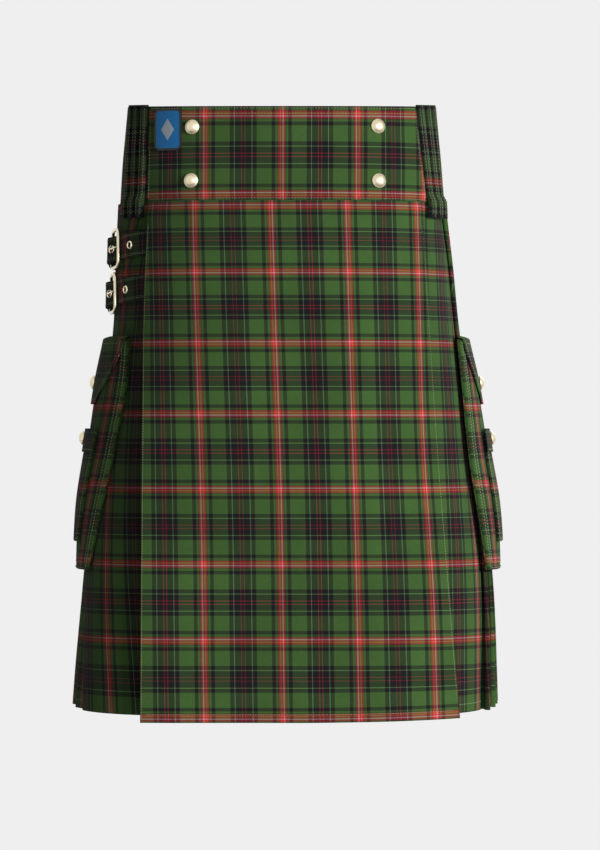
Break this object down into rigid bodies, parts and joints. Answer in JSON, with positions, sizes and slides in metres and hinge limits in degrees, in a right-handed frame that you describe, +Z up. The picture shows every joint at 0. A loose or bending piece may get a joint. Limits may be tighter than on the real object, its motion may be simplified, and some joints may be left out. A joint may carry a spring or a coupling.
{
  "type": "utility kilt",
  "caption": "Worn tartan kilt with a front apron, knife pleats, a snapped waistband, pintucked belt loops, side straps with buckles and flapped side pockets.",
  "frame": {"origin": "middle of the waist opening, at half the height of the waistband, where the wearer holds the kilt up", "axes": "+Z up towards the waist's opening, -Y out of the front apron, +X to the right of a viewer in front"},
  "size_m": [0.4349, 0.3315, 0.622],
  "materials": {
    "tartan_cloth": "matt twill",
    "bright_brass": "polished",
    "pale_brass": "satin",
    "patch": "moulded"
  },
  "bodies": {
    "root": {"waistband_front": "tartan_cloth", "waistband_back": "tartan_cloth", "waistband_under": "tartan_cloth", "belt_loop_front_left": "tartan_cloth", "belt_loop_front_right": "tartan_cloth", "belt_loop_back": "tartan_cloth", "front_apron": "tartan_cloth", "under_apron": "tartan_cloth", "pleats_right": "tartan_cloth", "pleats_back_right": "tartan_cloth", "pleats_back_left": "tartan_cloth", "pleats_left": "tartan_cloth", "strap_upper": "tartan_cloth", "strap_lower": "tartan_cloth", "strap_upper_buckle_chape": "tartan_cloth", "strap_lower_buckle_chape": "tartan_cloth", "pocket_left_back": "tartan_cloth", "pocket_left_bag": "tartan_cloth", "pocket_left_flap": "tartan_cloth", "pocket_left_phone_pocket": "tartan_cloth", "pocket_left_phone_flap": "tartan_cloth", "pocket_right_back": "tartan_cloth", "pocket_right_bag": "tartan_cloth", "pocket_right_flap": "tartan_cloth", "pocket_right_phone_pocket": "tartan_cloth", "pocket_right_phone_flap": "tartan_cloth", "strap_upper_buckle_frame": "bright_brass", "strap_upper_buckle_prong": "bright_brass", "strap_upper_eyelet_1": "bright_brass", "strap_upper_eyelet_2": "bright_brass", "strap_upper_eyelet_3": "bright_brass", "strap_lower_buckle_frame": "bright_brass", "strap_lower_buckle_prong": "bright_brass", "strap_lower_eyelet_1": "bright_brass", "strap_lower_eyelet_2": "bright_brass", "strap_lower_eyelet_3": "bright_brass", "snap_top_left": "pale_brass", "snap_top_right": "pale_brass", "snap_bottom_left": "pale_brass", "snap_bottom_right": "pale_brass", "pocket_left_flap_stud": "pale_brass", "pocket_left_phone_stud": "pale_brass", "pocket_right_flap_stud": "pale_brass", "pocket_right_phone_stud": "pale_brass", "badge_patch": "patch"}
  },
  "joints": []
}
